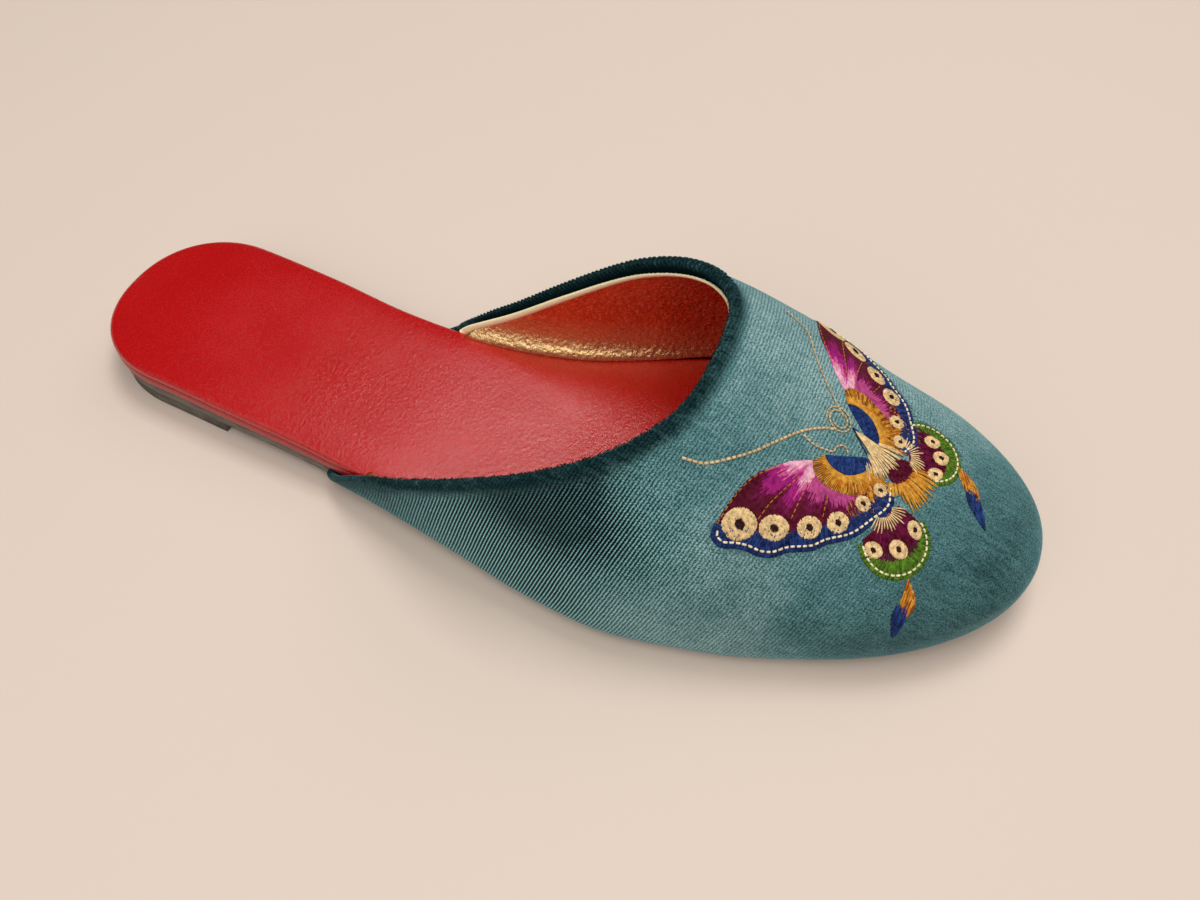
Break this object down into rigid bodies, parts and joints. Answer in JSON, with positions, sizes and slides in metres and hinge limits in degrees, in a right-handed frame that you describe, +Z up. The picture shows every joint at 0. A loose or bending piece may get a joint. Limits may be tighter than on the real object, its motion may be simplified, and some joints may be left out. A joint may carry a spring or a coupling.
{
  "type": "mule slipper",
  "caption": "Flat backless slipper with a closed velvet vamp, rolled topline, embroidered toe, red leather insole and thin sole with a low heel lift.",
  "frame": {"origin": "on the floor, under the middle of the slipper's box", "axes": "+X from heel to toe, +Y towards the inner side of the foot, +Z up"},
  "size_m": [0.2428, 0.0886, 0.0533],
  "materials": {
    "velvet": "ribbed velvet pile",
    "sock_leather": "satin fine grain",
    "edge_leather": "satin fine grain",
    "lining": "metallic foil",
    "thread": "satin stitch",
    "sole_leather": "matt",
    "lift_rubber": "matt"
  },
  "bodies": {
    "root": {"upper": "velvet", "insole_sock": "sock_leather", "insole_board": "edge_leather", "outsole": "sole_leather", "heel_lift": "lift_rubber"}
  },
  "joints": []
}
